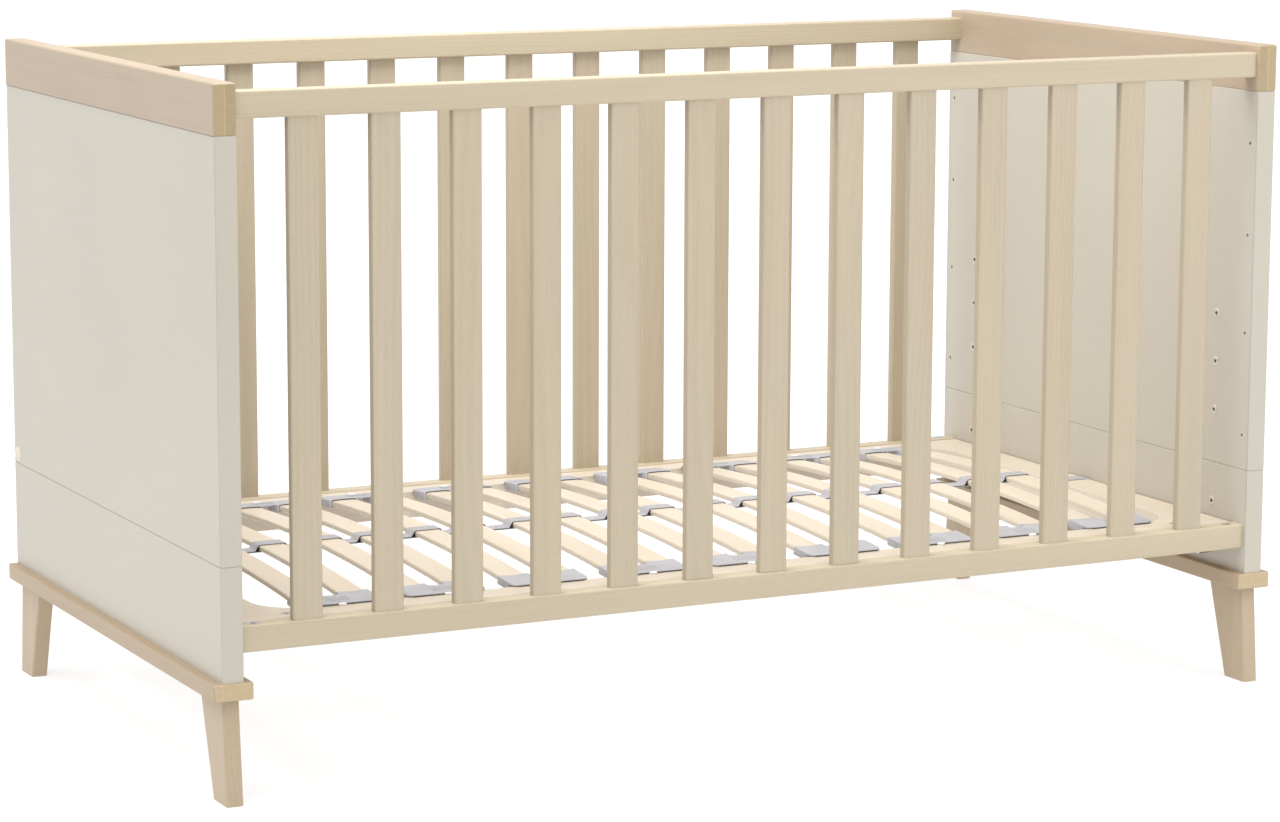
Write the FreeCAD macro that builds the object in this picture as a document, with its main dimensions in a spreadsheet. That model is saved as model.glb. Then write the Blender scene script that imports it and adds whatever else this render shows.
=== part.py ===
"""A baby crib of beech and cream-painted boards, for a 700 x 1400 mm mattress.

Millimetres, +Z up.  X runs along the length of the crib and Y across it; the front is towards -Y.
The origin is on the floor, under the middle of the crib.
"""
import FreeCAD, Part
import math
import os
import re

import Sketcher

Vector = FreeCAD.Vector
Rotation = FreeCAD.Rotation

LEFT, RIGHT = -1, 1
FRONT, REAR = -1, 1

BAR_COUNT = 13
SLIP_BARS = {6: "slip_bar_left", 7: "slip_bar_middle", 8: "slip_bar_right"}
SLAT_PAIRS = 9
SMALL_HOLE_HEIGHTS = ("hole_height_one", "hole_height_two", "hole_height_three",
                      "hole_height_four")
INSERT_HEIGHTS = ("level_one", "level_two", "level_three", "level_four", "level_five")
SEAM_DOWELS = ("-seam_dowel_outer", "-seam_dowel_inner", "seam_dowel_inner",
               "seam_dowel_outer")

SIZES = {
    # End panels.  The mattress space between their inner faces is 1404 long.
    "inner_half": 702.0,
    "board_thick": 27.0,
    "cap_thick": 28.0,
    "panel_half_depth": 384.0,
    "cap_bottom": 782.0,
    "cap_top": 842.0,
    "cap_round": 3.0,
    "board_round": 2.0,
    "seam_height": 284.0,
    "seam_bevel": 1.0,
    "plinth_inset": 11.0,
    "plinth_thick": 49.0,
    "plinth_half_depth": 386.5,
    "plinth_bottom": 126.0,
    "plinth_top": 147.0,
    # Legs, which lean outwards and narrow towards the floor.
    "leg_inset": 3.0,
    "leg_thick": 21.0,
    "leg_top_outer": 375.0,
    "leg_top_inner": 300.0,
    "leg_foot_outer": 386.0,
    "leg_foot_inner": 340.0,
    "leg_round": 3.0,
    # Side gates.
    "rail_inner_face": 354.0,
    "rail_thick": 24.0,
    "rail_height": 32.0,
    "rail_round": 2.5,
    "top_rail_bottom": 800.0,
    "bottom_rail_bottom": 180.0,
    "bar_width": 38.0,
    "bar_thick": 12.0,
    "bar_pitch": 103.0,
    "bar_setback": 2.4,
    "bar_round": 3.0,
    "tenon_width": 30.0,
    "tenon_thick": 7.0,
    "tenon_length": 12.0,
    # Slip bars, which lift against a spring so that they can be taken out.
    "slip_gap": 0.3,
    "slip_tenon": 8.0,
    "slip_entry": 10.0,
    "slip_mortise": 26.0,
    "spring_wire": 0.8,
    "spring_radius": 4.0,
    "spring_turns": 5.0,
    # Cam fixings, screws and dowels.
    "cam_radius": 7.5,
    "cam_depth": 12.5,
    "cam_inset": 19.0,
    "cam_bolt_drop": 8.0,
    "cam_channel": 4.0,
    "cam_bolt_radius": 3.0,
    "cam_bolt_head": 3.7,
    "cam_thread": 11.0,
    "cam_recess": 1.6,
    "cam_slot_half": 0.8,
    "cam_slot_rim": 2.5,
    "bolt_waist": 0.6,
    "bolt_head_length": 3.0,
    "bolt_collar_length": 2.0,
    "dowel_radius": 4.0,
    "dowel_half": 15.0,
    "plinth_dowel_half": 12.0,
    "seam_dowel_inner": 110.0,
    "seam_dowel_outer": 250.0,
    "socket_play": 0.5,
    "rail_dowel_offset": 24.0,
    "leg_bolt_radius": 4.0,
    "leg_bolt_up": 15.0,
    "leg_bolt_down": 40.0,
    "fit_gap": 0.1,
    # Threaded inserts for the five heights of the base, and the pins that carry it.
    "insert_y": 305.0,
    "insert_radius": 5.0,
    "insert_bore": 2.5,
    "insert_length": 12.0,
    "level_one": 168.0,
    "level_two": 231.5,
    "level_three": 354.5,
    "level_four": 419.5,
    "level_five": 483.5,
    "pin_radius": 6.8,
    "pin_length": 20.0,
    "pin_stud_radius": 2.4,
    "pin_stud_length": 10.0,
    # Blind holes along the edges of the end panels, and the domed plugs of the outer faces.
    "edge_hole_y": 369.0,
    "small_hole_radius": 2.3,
    "small_hole_depth": 10.0,
    "hole_height_one": 330.0,
    "hole_height_two": 465.0,
    "hole_height_three": 594.0,
    "hole_height_four": 714.0,
    "plug_height": 296.0,
    "plug_radius": 10.0,
    "plug_dome": 3.5,
    "plug_stem_radius": 5.0,
    "plug_stem_length": 9.0,
    # Slatted base.
    "base_half_length": 700.0,
    "base_half_depth": 350.0,
    "base_bottom": 175.0,
    "base_top": 211.0,
    "base_rail_inner": 311.0,
    "base_open_half": 644.0,
    "base_open_round": 60.0,
    "base_board_start": 596.0,
    "base_round": 2.0,
    "base_cam_x": 628.0,
    "slat_width": 35.0,
    "slat_thick": 7.0,
    "slat_offset": 31.0,
    "pair_pitch": 137.85,
    "slat_half_length": 302.4,
    "slat_crown": 221.7,
    "slat_bend": 3850.0,
    "slat_round": 2.0,
    # Twin rubber holders of the slat ends.
    "holder_half_width": 52.0,
    "holder_y": 293.0,
    "holder_half_depth": 23.0,
    "holder_bridge_end": 12.0,
    "holder_sleeve_end": 11.4,
    "holder_socket_end": 9.8,
    "holder_up": 5.0,
    "holder_lip": 2.35,
    "holder_down": 5.5,
    "holder_wall": 3.0,
    "holder_corner": 9.0,
    "holder_edge": 1.2,
    "holder_play": 0.3,
    "peg_y": 318.5,
    "peg_radius": 5.0,
    "peg_bottom": 195.0,
    "peg_top": 213.6,
    "peg_play": 0.4,
    # Webbing that ties the slats together along the middle.
    "belt_half_width": 11.0,
    "belt_ply": 1.4,
    "belt_play": 0.35,
    "belt_side": 2.0,
    "belt_lap": 1.0,
    "belt_tail_bend": 650.0,
    "belt_tail_ease": 2.0,
    "belt_tail_end": 698.0,
}

doc = FreeCAD.newDocument("BabyCrib")
nodes = []


# ---------------------------------------------------------------- helpers

def make_sheet():
    """Puts every driving size in a spreadsheet cell with the size's own name as its alias."""
    sheet = doc.addObject("Spreadsheet::Sheet", "Sizes")
    for row, (alias, value) in enumerate(SIZES.items(), 1):
        sheet.set(f"A{row}", alias)
        sheet.set(f"B{row}", str(value))
        sheet.setAlias(f"B{row}", alias)
    doc.recompute()


def bind(item, formulas):
    """Binds properties to formulas, in which every word is a cell of the sheet."""
    for name, formula in formulas.items():
        item.setExpression(name, re.sub(r"[a-z]\w*", r"Sizes.\g<0>", formula))


def place(item, x="0", y="0", z="0", rotation=None):
    """Turns an object, then binds its position to three formulas."""
    if rotation is not None:
        item.Placement = FreeCAD.Placement(Vector(0, 0, 0), rotation)
    bind(item, {"Placement.Base.x": x, "Placement.Base.y": y, "Placement.Base.z": z})
    return item


def turn(degrees, axis=(0, 0, 1)):
    return Rotation(Vector(*axis), degrees)


def mirrored(span, side):
    """The span on the given side of the crib; span itself is written for the positive side."""
    low, high = span
    if side > 0:
        return low, high
    return f"-({high})", f"-({low})"


def signed(formula, side):
    """A formula for the positive side, or its negative for the other side."""
    return formula if side > 0 else f"-({formula})"


def both_ways(half):
    return f"-({half})", half


def box(name, x_span, y_span, z_span):
    """A block between two formulas along each axis."""
    item = doc.addObject("Part::Box", name)
    for length, (low, high) in zip(("Length", "Width", "Height"), (x_span, y_span, z_span)):
        bind(item, {length: f"({high}) - ({low})"})
    return place(item, x_span[0], y_span[0], z_span[0])


def rod(name, radius, length, x="0", y="0", z="0", along=(0, 0, 1)):
    """A round rod from a point, along a direction."""
    item = doc.addObject("Part::Cylinder", name)
    bind(item, {"Radius": radius, "Height": length})
    return place(item, x, y, z, Rotation(Vector(0, 0, 1), Vector(*along)))


def group(name, items):
    item = doc.addObject("Part::Compound", name)
    item.Links = items
    return item


def copy(name, master, x="0", y="0", z="0", rotation=None):
    """The master piece again, at a place of its own."""
    return place(group(name, [master]), x, y, z, rotation)


def fuse(name, items):
    item = doc.addObject("Part::MultiFuse", name)
    item.Shapes = items
    return item


def cut(name, base, tools):
    """Removes the tools from the base, and makes sure that every cut takes something away."""
    item = doc.addObject("Part::Cut", name)
    item.Base = base
    item.Tool = group(name + "_tools", tools)
    doc.recompute()
    if item.Shape.Volume >= base.Shape.Volume - 1.0:
        raise ValueError(f"{name} cuts nothing")
    return item


def mirror(name, source, normal):
    item = doc.addObject("Part::Mirroring", name)
    item.Source = source
    item.Normal = Vector(*normal)
    return item


def edge_numbers(item, wanted):
    doc.recompute()
    return [number for number, edge in enumerate(item.Shape.Edges, 1) if wanted(edge)]


def soften(name, item, size, wanted, kind="Part::Fillet"):
    """Rounds, or chamfers, the edges of a piece that the test wants."""
    result = doc.addObject(kind, name)
    result.Base = item
    result.Edges = [(number, SIZES[size], SIZES[size]) for number in edge_numbers(item, wanted)]
    return result


def runs_along(edge, axis):
    """True for an edge that runs along the axis with the given number, 0 to 2."""
    ends = [vertex.Point for vertex in edge.Vertexes]
    if len(ends) != 2:
        return False
    way = ends[1] - ends[0]
    return abs(way[axis]) > 0.99 * way.Length


def touches(edge, axis, value):
    """True for an edge that lies in the plane where the axis has the given value."""
    return all(abs(vertex.Point[axis] - value) < 0.01 for vertex in edge.Vertexes)


def node(name, item):
    """Makes an object a sub-part with the given name."""
    item.Label = name
    nodes.append(item)
    return item


# ---------------------------------------------------------------- sketches

def new_sketch(body, role):
    sketch = body.newObject("Sketcher::SketchObject", body.Name + "_sketch")
    plane = next(item for item in body.Origin.OriginFeatures if item.Role == role)
    sketch.AttachmentSupport = (plane, [""])
    sketch.MapMode = "FlatFace"
    return sketch


def drive(sketch, kind, where, start, formula):
    """Adds a dimension to a sketch and binds it to a formula."""
    number = sketch.addConstraint(Sketcher.Constraint(kind, *where, start))
    bind(sketch, {f"Constraints[{number}]": formula})


def draw_outline(sketch, corners):
    """A closed outline of straight edges, with both coordinates of each corner bound."""
    count = len(corners)
    angles = [2 * math.pi * index / count for index in range(count)]
    start = [Vector(math.cos(angle), math.sin(angle), 0) * 100 for angle in angles]
    for index in range(count):
        sketch.addGeometry(Part.LineSegment(start[index], start[(index + 1) % count]), False)
    for index in range(count):
        following = (index + 1) % count
        sketch.addConstraint(Sketcher.Constraint("Coincident", index, 2, following, 1))
    for index, (across, up) in enumerate(corners):
        drive(sketch, "DistanceX", (-1, 1, index, 1), start[index].x, across)
        drive(sketch, "DistanceY", (-1, 1, index, 1), start[index].y, up)


def pad(body, sketch, length):
    feature = body.newObject("PartDesign::Pad", body.Name + "_pad")
    feature.Profile = sketch
    bind(feature, {"Length": length})
    sketch.Visibility = False
    return feature


def round_body(body, feature, size, wanted):
    """Rounds edges of a body's last feature with a feature of the body's own."""
    fillet = body.newObject("PartDesign::Fillet", body.Name + "_fillet")
    fillet.Base = (feature, [f"Edge{number}" for number in edge_numbers(feature, wanted)])
    bind(fillet, {"Radius": size})


# ---------------------------------------------------------------- fixings

def cam_master():
    """A cam disc: its face is at z = 0, and its channel opens towards +X."""
    disc = rod("cam_disc", "cam_radius", "cam_depth", z="-cam_depth")
    channel = rod("cam_channel", "cam_channel", "cam_radius + 5",
                  x="-cam_channel", z="-cam_bolt_drop", along=(1, 0, 0))
    long, short = both_ways("cam_radius - cam_slot_rim"), both_ways("cam_slot_half")
    slots = [box("cam_slot_x", long, short, ("-cam_recess", "1")),
             box("cam_slot_y", short, long, ("-cam_recess", "1"))]
    return cut("cam_master", disc, [channel] + slots)


def cam_bolt_master():
    """The bolt that a cam pulls: its head is at the origin and it runs along +X."""
    shank = rod("bolt_shank", "cam_bolt_radius - bolt_waist", "cam_inset", along=(1, 0, 0))
    head = rod("bolt_head", "cam_bolt_head", "bolt_head_length", x="-bolt_head_length / 2",
               along=(1, 0, 0))
    collar = rod("bolt_collar", "cam_bolt_head", "bolt_collar_length",
                 x="cam_inset - bolt_collar_length", along=(1, 0, 0))
    thread = rod("bolt_thread", "cam_bolt_radius", "cam_thread", x="cam_inset", along=(1, 0, 0))
    return fuse("cam_bolt_master", [shank, head, collar, thread])


def rail_ends():
    """Each end of each rail: the side of the crib and whether the cam faces down."""
    for side in (FRONT, REAR):
        for end in (LEFT, RIGHT):
            for face_down in (False, True):
                yield side, end, face_down


def rail_axis(side):
    """The middle of a rail across the crib."""
    return signed("rail_inner_face + rail_thick / 2", side)


def rail_fixing_heights(face_down):
    """The heights of a rail's cam face, cam bolt and dowel."""
    if face_down:
        face = "top_rail_bottom"
        return face, f"{face} + cam_bolt_drop", f"{face} + rail_dowel_offset"
    face = "bottom_rail_bottom + rail_height"
    return face, f"{face} - cam_bolt_drop", f"{face} - rail_dowel_offset"


def base_cam_place(side, end):
    """Where a cam stands in a long rail of the base, with its bolt towards the end board."""
    return {"x": signed("base_cam_x", end), "y": signed("base_rail_inner + cam_inset", side)}


def make_cam_fixings():
    cam, bolt = cam_master(), cam_bolt_master()
    cams, bolts = [], []
    for number, (side, end, face_down) in enumerate(rail_ends()):
        face, bolt_height, _ = rail_fixing_heights(face_down)
        facing = turn(0 if end == RIGHT else 180)
        flipped = facing * turn(180, (1, 0, 0)) if face_down else facing
        where = {"x": signed("inner_half - cam_inset", end), "y": rail_axis(side)}
        cams.append(copy(f"cam_{number}", cam, z=face, rotation=flipped, **where))
        bolts.append(copy(f"cam_bolt_{number}", bolt, z=bolt_height, rotation=facing, **where))
    node("cam_locks", group("cam_locks", cams))
    node("cam_bolts", group("cam_bolts", bolts))

    base_cams, base_bolts = [], []
    for side in (FRONT, REAR):
        for end in (LEFT, RIGHT):
            facing, where = turn(-90 * side), base_cam_place(side, end)
            base_cams.append(copy("base_cam", cam, z="base_top", rotation=facing, **where))
            base_bolts.append(copy("base_cam_bolt", bolt, z="base_top - cam_bolt_drop",
                                   rotation=facing, **where))
    node("base_cam_locks", group("base_cam_locks", base_cams))
    node("base_cam_bolts", group("base_cam_bolts", base_bolts))


def seam_heights():
    """The heights of the three joints in an end panel."""
    return ("cap_bottom", "seam_height", "plinth_top")


def make_dowels():
    dowels = []
    for end in (LEFT, RIGHT):
        for height in seam_heights():
            half = "plinth_dowel_half" if height == "plinth_top" else "dowel_half"
            for y in SEAM_DOWELS:
                dowels.append(rod("seam_dowel", "dowel_radius", f"2 * {half}", y=y,
                                  x=signed("inner_half + board_thick / 2", end),
                                  z=f"{height} - {half}"))
    for side, end, face_down in rail_ends():
        height = rail_fixing_heights(face_down)[2]
        dowels.append(rod("rail_dowel", "dowel_radius", "2 * dowel_half", y=rail_axis(side),
                          x=signed("inner_half - dowel_half", end), z=height,
                          along=(end, 0, 0)))
    node("wooden_dowels", group("wooden_dowels", dowels))


def dowel_socket(name, depth, **where):
    return rod(name, "dowel_radius + fit_gap", depth, **where)


def corners():
    for side in (FRONT, REAR):
        for end in (LEFT, RIGHT):
            yield side, end


def make_inserts_and_pins():
    """Threaded inserts for the heights of the base, and four pins in the lowest of them."""
    sleeve = rod("insert_sleeve", "insert_radius", "insert_length", along=(1, 0, 0))
    bore = rod("insert_bore", "insert_bore", "insert_length + 2", x="-1", along=(1, 0, 0))
    insert = cut("insert_master", sleeve, [bore])
    inserts = []
    for side, end in corners():
        for level in INSERT_HEIGHTS:
            inserts.append(copy("insert", insert, signed("inner_half", end),
                                signed("insert_y", side), level, turn(90 - 90 * end)))
    node("height_inserts", group("height_inserts", inserts))

    head = rod("pin_head", "pin_radius", "pin_length", x="-pin_length", along=(1, 0, 0))
    stud = rod("pin_stud", "pin_stud_radius", "pin_stud_length + 1", x="-1", along=(1, 0, 0))
    pin = fuse("pin_master", [head, stud])
    pins = [copy("pin", pin, signed("inner_half", end), signed("insert_y", side),
                 "level_one", turn(90 - 90 * end)) for side, end in corners()]
    node("support_pins", group("support_pins", pins))


def make_plugs():
    """A domed plug near the rear edge of each end panel's outer face."""
    plugs = []
    for end in (LEFT, RIGHT):
        dome_radius = "(plug_radius ^ 2 + plug_dome ^ 2) / (2 * plug_dome)"
        ball = doc.addObject("Part::Sphere", "plug_ball")
        bind(ball, {"Radius": dome_radius})
        place(ball, f"plug_dome - {dome_radius}")
        slab = box("plug_slab", ("0", "plug_dome"), both_ways("plug_radius"),
                   both_ways("plug_radius"))
        dome = doc.addObject("Part::Common", "plug_dome")
        dome.Base = ball
        dome.Tool = slab
        stem = rod("plug_stem", "plug_stem_radius", "plug_stem_length + 1",
                   x="-plug_stem_length", along=(1, 0, 0))
        whole = fuse("plug_master", [dome, stem])
        plugs.append(copy("plug", whole, signed("inner_half + board_thick", end),
                          "edge_hole_y", "plug_height", turn(90 - 90 * end)))
    node("hole_plugs", group("hole_plugs", plugs))


# ---------------------------------------------------------------- end panels

def face_hole(name, end, radius, depth, y, z):
    """A blind hole in the inner face of an end panel."""
    return rod(name, radius, f"{depth} + 1", x=signed("inner_half - 1", end), y=y, z=z,
               along=(end, 0, 0))


def seam_sockets(end, height, dowel, upwards):
    """Sockets in the edge of a board at a seam, for half of the seam's dowels."""
    depth = f"{dowel} + socket_play"
    low = height if upwards else f"{height} - ({depth})"
    middle = signed("inner_half + board_thick / 2", end)
    return [dowel_socket("seam_socket", depth, x=middle, y=y, z=low) for y in SEAM_DOWELS]


def rail_holes(end, face_down):
    """Holes in an end panel's inner face for the fixings of the rails."""
    _, bolt, dowel = rail_fixing_heights(face_down)
    holes = []
    for side in (FRONT, REAR):
        y = rail_axis(side)
        holes.append(face_hole("bolt_hole", end, "cam_bolt_radius + fit_gap",
                               "cam_thread + socket_play", y, bolt))
        holes.append(face_hole("dowel_hole", end, "dowel_radius + fit_gap",
                               "dowel_half + socket_play", y, dowel))
    return holes


def insert_holes(end, levels):
    return [face_hole("insert_hole", end, "insert_radius + fit_gap", "insert_length + fit_gap",
                      signed("insert_y", side), level)
            for side in (FRONT, REAR) for level in levels]


def small_holes(end):
    return [face_hole("small_hole", end, "small_hole_radius", "small_hole_depth",
                      signed("edge_hole_y", side), height)
            for side in (FRONT, REAR) for height in SMALL_HOLE_HEIGHTS]


def plug_hole(end):
    return rod("plug_hole", "plug_stem_radius + fit_gap", "plug_stem_length + 1.5",
               x=signed("inner_half + board_thick + 1", end), y="edge_hole_y", z="plug_height",
               along=(-end, 0, 0))


def make_end_panel(end):
    side_name = {LEFT: "left", RIGHT: "right"}[end]
    board_x = mirrored(("inner_half", "inner_half + board_thick"), end)
    depth = both_ways("panel_half_depth")

    cap_x = mirrored(("inner_half", "inner_half + cap_thick"), end)
    cap = box("cap_block", cap_x, depth, ("cap_bottom", "cap_top"))
    cap = soften("cap_rounded", cap, "cap_round",
                 lambda edge: runs_along(edge, 2) or touches(edge, 2, SIZES["cap_top"]))
    cap = soften("cap_bevelled", cap, "seam_bevel",
                 lambda edge: touches(edge, 2, SIZES["cap_bottom"]), "Part::Chamfer")
    cap_holes = rail_holes(end, True) + seam_sockets(end, "cap_bottom", "dowel_half", True)
    node(f"{side_name}_top_cap", cut("top_cap", cap, cap_holes))

    upper = box("upper_block", board_x, depth, ("seam_height", "cap_bottom"))
    upper = soften("upper_rounded", upper, "board_round", lambda edge: runs_along(edge, 2))
    upper = soften("upper_bevelled", upper, "seam_bevel",
                   lambda edge: (touches(edge, 2, SIZES["seam_height"])
                                 or touches(edge, 2, SIZES["cap_bottom"])), "Part::Chamfer")
    upper_holes = (insert_holes(end, INSERT_HEIGHTS[2:]) + small_holes(end) + [plug_hole(end)]
                   + seam_sockets(end, "cap_bottom", "dowel_half", False)
                   + seam_sockets(end, "seam_height", "dowel_half", True))
    node(f"{side_name}_upper_board", cut("upper_board", upper, upper_holes))

    lower = box("lower_block", board_x, depth, ("plinth_top", "seam_height"))
    lower = soften("lower_rounded", lower, "board_round", lambda edge: runs_along(edge, 2))
    lower = soften("lower_bevelled", lower, "seam_bevel",
                   lambda edge: touches(edge, 2, SIZES["seam_height"]), "Part::Chamfer")
    lower_holes = (insert_holes(end, INSERT_HEIGHTS[:2]) + rail_holes(end, False)
                   + seam_sockets(end, "seam_height", "dowel_half", False)
                   + seam_sockets(end, "plinth_top", "plinth_dowel_half", True))
    node(f"{side_name}_lower_board", cut("lower_board", lower, lower_holes))

    make_plinth(end, side_name)
    for side, place_name in ((FRONT, "front"), (REAR, "back")):
        make_leg(end, side, f"{side_name}_{place_name}_leg")


def leg_middle(side):
    return signed("(leg_top_outer + leg_top_inner) / 2", side)


def leg_x():
    return "inner_half + leg_inset + leg_thick / 2"


def make_plinth(end, side_name):
    inner = "inner_half - plinth_inset"
    span = mirrored((inner, f"{inner} + plinth_thick"), end)
    block = box("plinth_block", span, both_ways("plinth_half_depth"),
                ("plinth_bottom", "plinth_top"))
    block = soften("plinth_rounded", block, "board_round", lambda edge: True)
    holes = seam_sockets(end, "plinth_top", "plinth_dowel_half", False)
    for side in (FRONT, REAR):
        holes.append(rod("leg_bolt_hole", "leg_bolt_radius + fit_gap", "leg_bolt_up + socket_play",
                         x=signed(leg_x(), end), y=leg_middle(side), z="plinth_bottom"))
    node(f"{side_name}_plinth", cut("plinth", block, holes))


def make_leg(end, side, name):
    """A leg as a pad of its side view, which leans outwards and narrows to the floor."""
    body = doc.addObject("PartDesign::Body", "leg_body")
    sketch = new_sketch(body, "YZ_Plane")
    draw_outline(sketch, [
        (signed("leg_foot_inner", side), "0"),
        (signed("leg_foot_outer", side), "0"),
        (signed("leg_top_outer", side), "plinth_bottom"),
        (signed("leg_top_inner", side), "plinth_bottom"),
    ])
    feature = pad(body, sketch, "leg_thick")
    round_body(body, feature, "leg_round",
               lambda edge: not runs_along(edge, 0) and not runs_along(edge, 1))
    place(body, mirrored(("inner_half + leg_inset", "inner_half + leg_inset + leg_thick"),
                         end)[0])
    hole = rod("leg_hole", "leg_bolt_radius + fit_gap", "leg_bolt_down + 1 + socket_play",
               x=signed(leg_x(), end), y=leg_middle(side),
               z="plinth_bottom - leg_bolt_down - socket_play")
    node(name, cut("drilled_leg", body, [hole]))


def make_leg_bolts():
    bolts = [rod("leg_bolt", "leg_bolt_radius", "leg_bolt_up + leg_bolt_down",
                 x=signed(leg_x(), end), y=leg_middle(side), z="plinth_bottom - leg_bolt_down")
             for side, end in corners()]
    node("leg_bolts", group("leg_bolts", bolts))


# ---------------------------------------------------------------- side gates

def bar_x(number):
    """The middle of a bar along the crib; bars are numbered from 1 at the left."""
    return f"({number - (BAR_COUNT + 1) / 2}) * bar_pitch"


def bar_y(side):
    """The middle of the bars' thickness, which is set back from the rail's outer face."""
    return signed("rail_inner_face + rail_thick - bar_setback - bar_thick / 2", side)


def bar_block(name, low, high):
    """The long part of a bar, with its four long edges rounded, standing at the origin."""
    block = box(name, both_ways("bar_width / 2"), both_ways("bar_thick / 2"), (low, high))
    return soften(name + "_rounded", block, "bar_round", lambda edge: runs_along(edge, 2))


def tenon(name, low, high, play="0"):
    return box(name, both_ways(f"tenon_width / 2 + {play}"),
               both_ways(f"tenon_thick / 2 + {play}"), (low, high))


def fixed_bar_master():
    low, high = "bottom_rail_bottom + rail_height", "top_rail_bottom"
    return fuse("fixed_bar", [
        bar_block("bar_block", low, high),
        tenon("bar_foot", f"{low} - tenon_length", low),
        tenon("bar_head", high, f"{high} + tenon_length"),
    ])


def slip_bar_master():
    """A bar whose whole head stands in a deep mortise, so that it can be lifted."""
    low = "bottom_rail_bottom + rail_height + slip_gap"
    return fuse("slip_bar", [
        bar_block("slip_block", low, "top_rail_bottom + slip_entry"),
        tenon("slip_foot", f"{low} - slip_tenon", low),
    ])


def rail_mortises(side, is_top):
    """The mortises of one rail, deeper and wider for the slip bars of the front gate."""
    face = "top_rail_bottom" if is_top else "bottom_rail_bottom + rail_height"
    tools = []
    for number in range(1, BAR_COUNT + 1):
        slips = side == FRONT and number in SLIP_BARS
        if slips and is_top:
            tool = box("slip_mortise", both_ways("bar_width / 2 + slip_gap"),
                       both_ways("bar_thick / 2 + slip_gap"), (f"{face} - 1",
                                                               f"{face} + slip_mortise"))
        elif slips:
            tool = tenon("slip_socket", f"{face} - slip_tenon - slip_gap", f"{face} + 1",
                         "slip_gap")
        elif is_top:
            tool = tenon("mortise", f"{face} - 1", f"{face} + tenon_length + fit_gap",
                         "fit_gap")
        else:
            tool = tenon("mortise", f"{face} - tenon_length - fit_gap", f"{face} + 1",
                         "fit_gap")
        tools.append(copy("mortise_at_bar", tool, bar_x(number), bar_y(side)))
    return tools


def rail_fixing_holes(side, is_top):
    """Pockets for the cams, and bores for their bolts and for the dowels, at both ends."""
    face, bolt, dowel = rail_fixing_heights(is_top)
    pocket_low = f"{face} - 1" if is_top else f"{face} - cam_depth - fit_gap"
    y = rail_axis(side)
    tools = []
    for end in (LEFT, RIGHT):
        centre = signed("inner_half - cam_inset", end)
        tools.append(rod("cam_pocket", "cam_radius + fit_gap", "cam_depth + fit_gap + 1",
                         x=centre, y=y, z=pocket_low))
        tools.append(rod("cam_bolt_bore", "cam_channel", "cam_inset + 1", x=centre, y=y, z=bolt,
                         along=(end, 0, 0)))
        tools.append(dowel_socket("rail_dowel_bore", "dowel_half + 1.5", y=y, z=dowel,
                                  x=signed("inner_half - dowel_half - socket_play", end),
                                  along=(end, 0, 0)))
    return [fuse("rail_end_bores", tools)]


def make_rail(side, is_top, name):
    low = "top_rail_bottom" if is_top else "bottom_rail_bottom"
    block = box("rail_block", both_ways("inner_half"),
                mirrored(("rail_inner_face", "rail_inner_face + rail_thick"), side),
                (low, f"{low} + rail_height"))
    block = soften("rail_rounded", block, "rail_round", lambda edge: runs_along(edge, 0))
    node(name, cut("rail", block, rail_mortises(side, is_top) + rail_fixing_holes(side, is_top)))


def spring_master():
    """A round-wire compression spring that stands on a slip bar's head."""
    helix = doc.addObject("Part::Helix", "spring_path")
    room = "slip_mortise - slip_entry - slip_gap - spring_wire"
    bind(helix, {"Pitch": f"({room}) / spring_turns", "Height": room, "Radius": "spring_radius"})
    wire = doc.addObject("Part::Circle", "spring_wire_section")
    bind(wire, {"Radius": "spring_wire / 2"})
    place(wire, "spring_radius", rotation=turn(90, (1, 0, 0)))
    spring = doc.addObject("Part::Sweep", "spring_master")
    spring.Sections = [wire]
    spring.Spine = (helix, [])
    spring.Solid = True
    spring.Frenet = True
    return spring


def make_gates():
    for side, name in ((FRONT, "front"), (REAR, "rear")):
        make_rail(side, True, f"{name}_top_rail")
        make_rail(side, False, f"{name}_bottom_rail")

    fixed_bar, slip_bar, spring = fixed_bar_master(), slip_bar_master(), spring_master()
    spring_foot = "top_rail_bottom + slip_entry + (slip_gap + spring_wire) / 2"
    rear_bars = []
    for number in range(1, BAR_COUNT + 1):
        where = (bar_x(number), bar_y(FRONT))
        if number in SLIP_BARS:
            name = SLIP_BARS[number]
            node(name, copy(name, slip_bar, *where))
            node(f"{name}_spring", copy(f"{name}_spring", spring, *where, spring_foot))
        else:
            node(f"front_bar_{number:02d}", copy("front_bar", fixed_bar, *where))
        rear_bars.append(copy("rear_bar", fixed_bar, bar_x(number), bar_y(REAR)))
    node("rear_bars", group("rear_bars", rear_bars))


# ---------------------------------------------------------------- slatted base

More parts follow.
